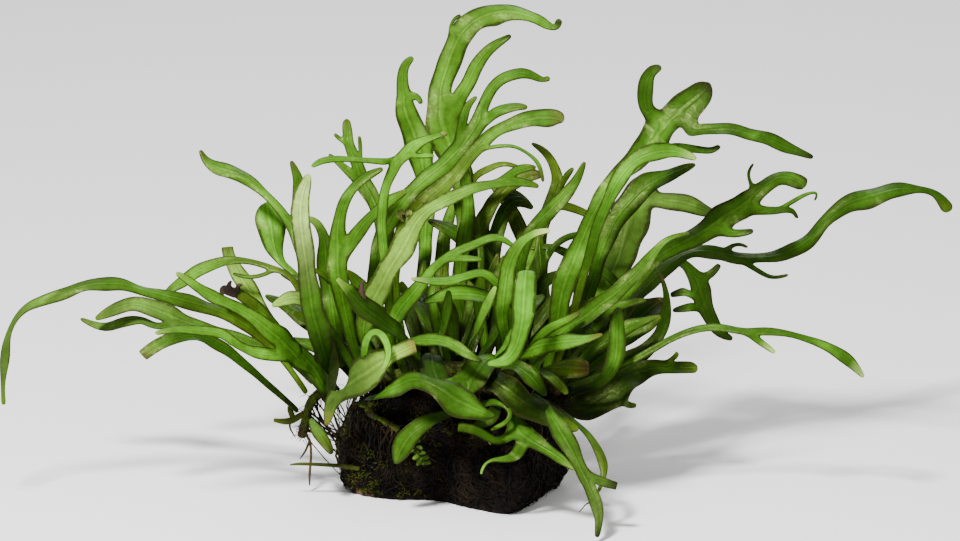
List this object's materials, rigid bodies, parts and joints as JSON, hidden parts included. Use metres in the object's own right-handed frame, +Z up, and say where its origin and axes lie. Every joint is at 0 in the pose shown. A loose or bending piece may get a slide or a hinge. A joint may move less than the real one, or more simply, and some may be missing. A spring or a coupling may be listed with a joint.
{
  "type": "java fern on driftwood",
  "caption": "Aquarium java fern with long, narrow, forked green fronds growing from creeping rhizomes on a dark lump of driftwood.",
  "frame": {"origin": "middle of the flat underside of the driftwood, on the surface it rests on", "axes": "+Z up, +X along the plant's long side to the right as seen from the front, -Y to the front"},
  "size_m": [0.3449, 0.1774, 0.1604],
  "materials": {
    "driftwood": "wet, nearly black bark-brown wood, rough, with one small pale pink-brown bare patch",
    "root_mat": "matt black-brown mat of fine tangled roots",
    "moss": "olive moss tufts, matt",
    "rhizome": "olive-green to brown creeping stem, satin, with dark root hairs",
    "leaf_pale": "pale grey-green satin leaf with fine speckle and thin darker margins",
    "leaf_bright": "bright yellow-green satin leaf",
    "leaf_middle": "mid green satin leaf with dark purplish-brown margins and tips",
    "leaf_dark": "deep green older leaf, satin"
  },
  "bodies": {
    "root": {"driftwood": "driftwood", "rhizome_left": "rhizome", "rhizome_top": "rhizome", "rhizome_back": "rhizome", "rhizome_front": "rhizome", "rhizome_front_right": "rhizome", "frond_tall_pale": "leaf_pale", "frond_left_bright": "leaf_bright", "frond_left_long_arch": "leaf_middle", "frond_left_thin": "leaf_middle", "frond_left_pale_low": "leaf_pale", "frond_left_cut": "leaf_middle", "frond_left_pale_tip": "leaf_pale", "frond_upper_left_hook": "leaf_middle", "frond_upper_left_round": "leaf_middle", "frond_bright_vertical": "leaf_bright", "frond_antler": "leaf_middle", "frond_middle_left": "leaf_middle", "frond_long_pale_arc": "leaf_pale", "frond_second_arc": "leaf_bright", "frond_top_left": "leaf_bright", "frond_top_main": "leaf_middle", "frond_top_right": "leaf_middle", "frond_top_right_low": "leaf_middle", "frond_dark_middle": "leaf_dark", "frond_dark_crossing": "leaf_dark", "frond_dark_vertical": "leaf_dark", "frond_band": "leaf_bright", "frond_light_middle": "leaf_pale", "frond_right_green": "leaf_middle", "frond_brown_tip": "leaf_middle", "frond_bright_drooping": "leaf_bright", "frond_diagonal_dark": "leaf_dark", "frond_bright_left_arch": "leaf_bright", "frond_pale_ragged": "leaf_pale", "frond_front_arch": "leaf_middle", "frond_front_drooping": "leaf_middle", "plantlet": "leaf_middle", "frond_front_star": "leaf_middle", "frond_trailing": "leaf_pale", "frond_right_pale_short": "leaf_pale", "frond_right_brown_ragged": "leaf_dark", "frond_right_striped": "leaf_middle", "frond_right_tall": "leaf_middle", "frond_right_hook": "leaf_bright", "frond_right_second": "leaf_middle", "frond_right_broad": "leaf_pale", "frond_right_forked": "leaf_middle", "frond_far_right": "leaf_dark", "frond_right_drooping": "leaf_dark", "frond_right_low": "leaf_middle", "frond_right_low_broad": "leaf_dark", "frond_right_upright": "leaf_dark", "frond_right_mid_vertical": "leaf_middle", "frond_right_dark_broad": "leaf_dark", "frond_back_left": "leaf_middle", "frond_back_left_low": "leaf_middle", "frond_back_middle": "leaf_middle", "frond_back_right": "leaf_middle", "frond_back_right_low": "leaf_dark"}
  },
  "joints": []
}
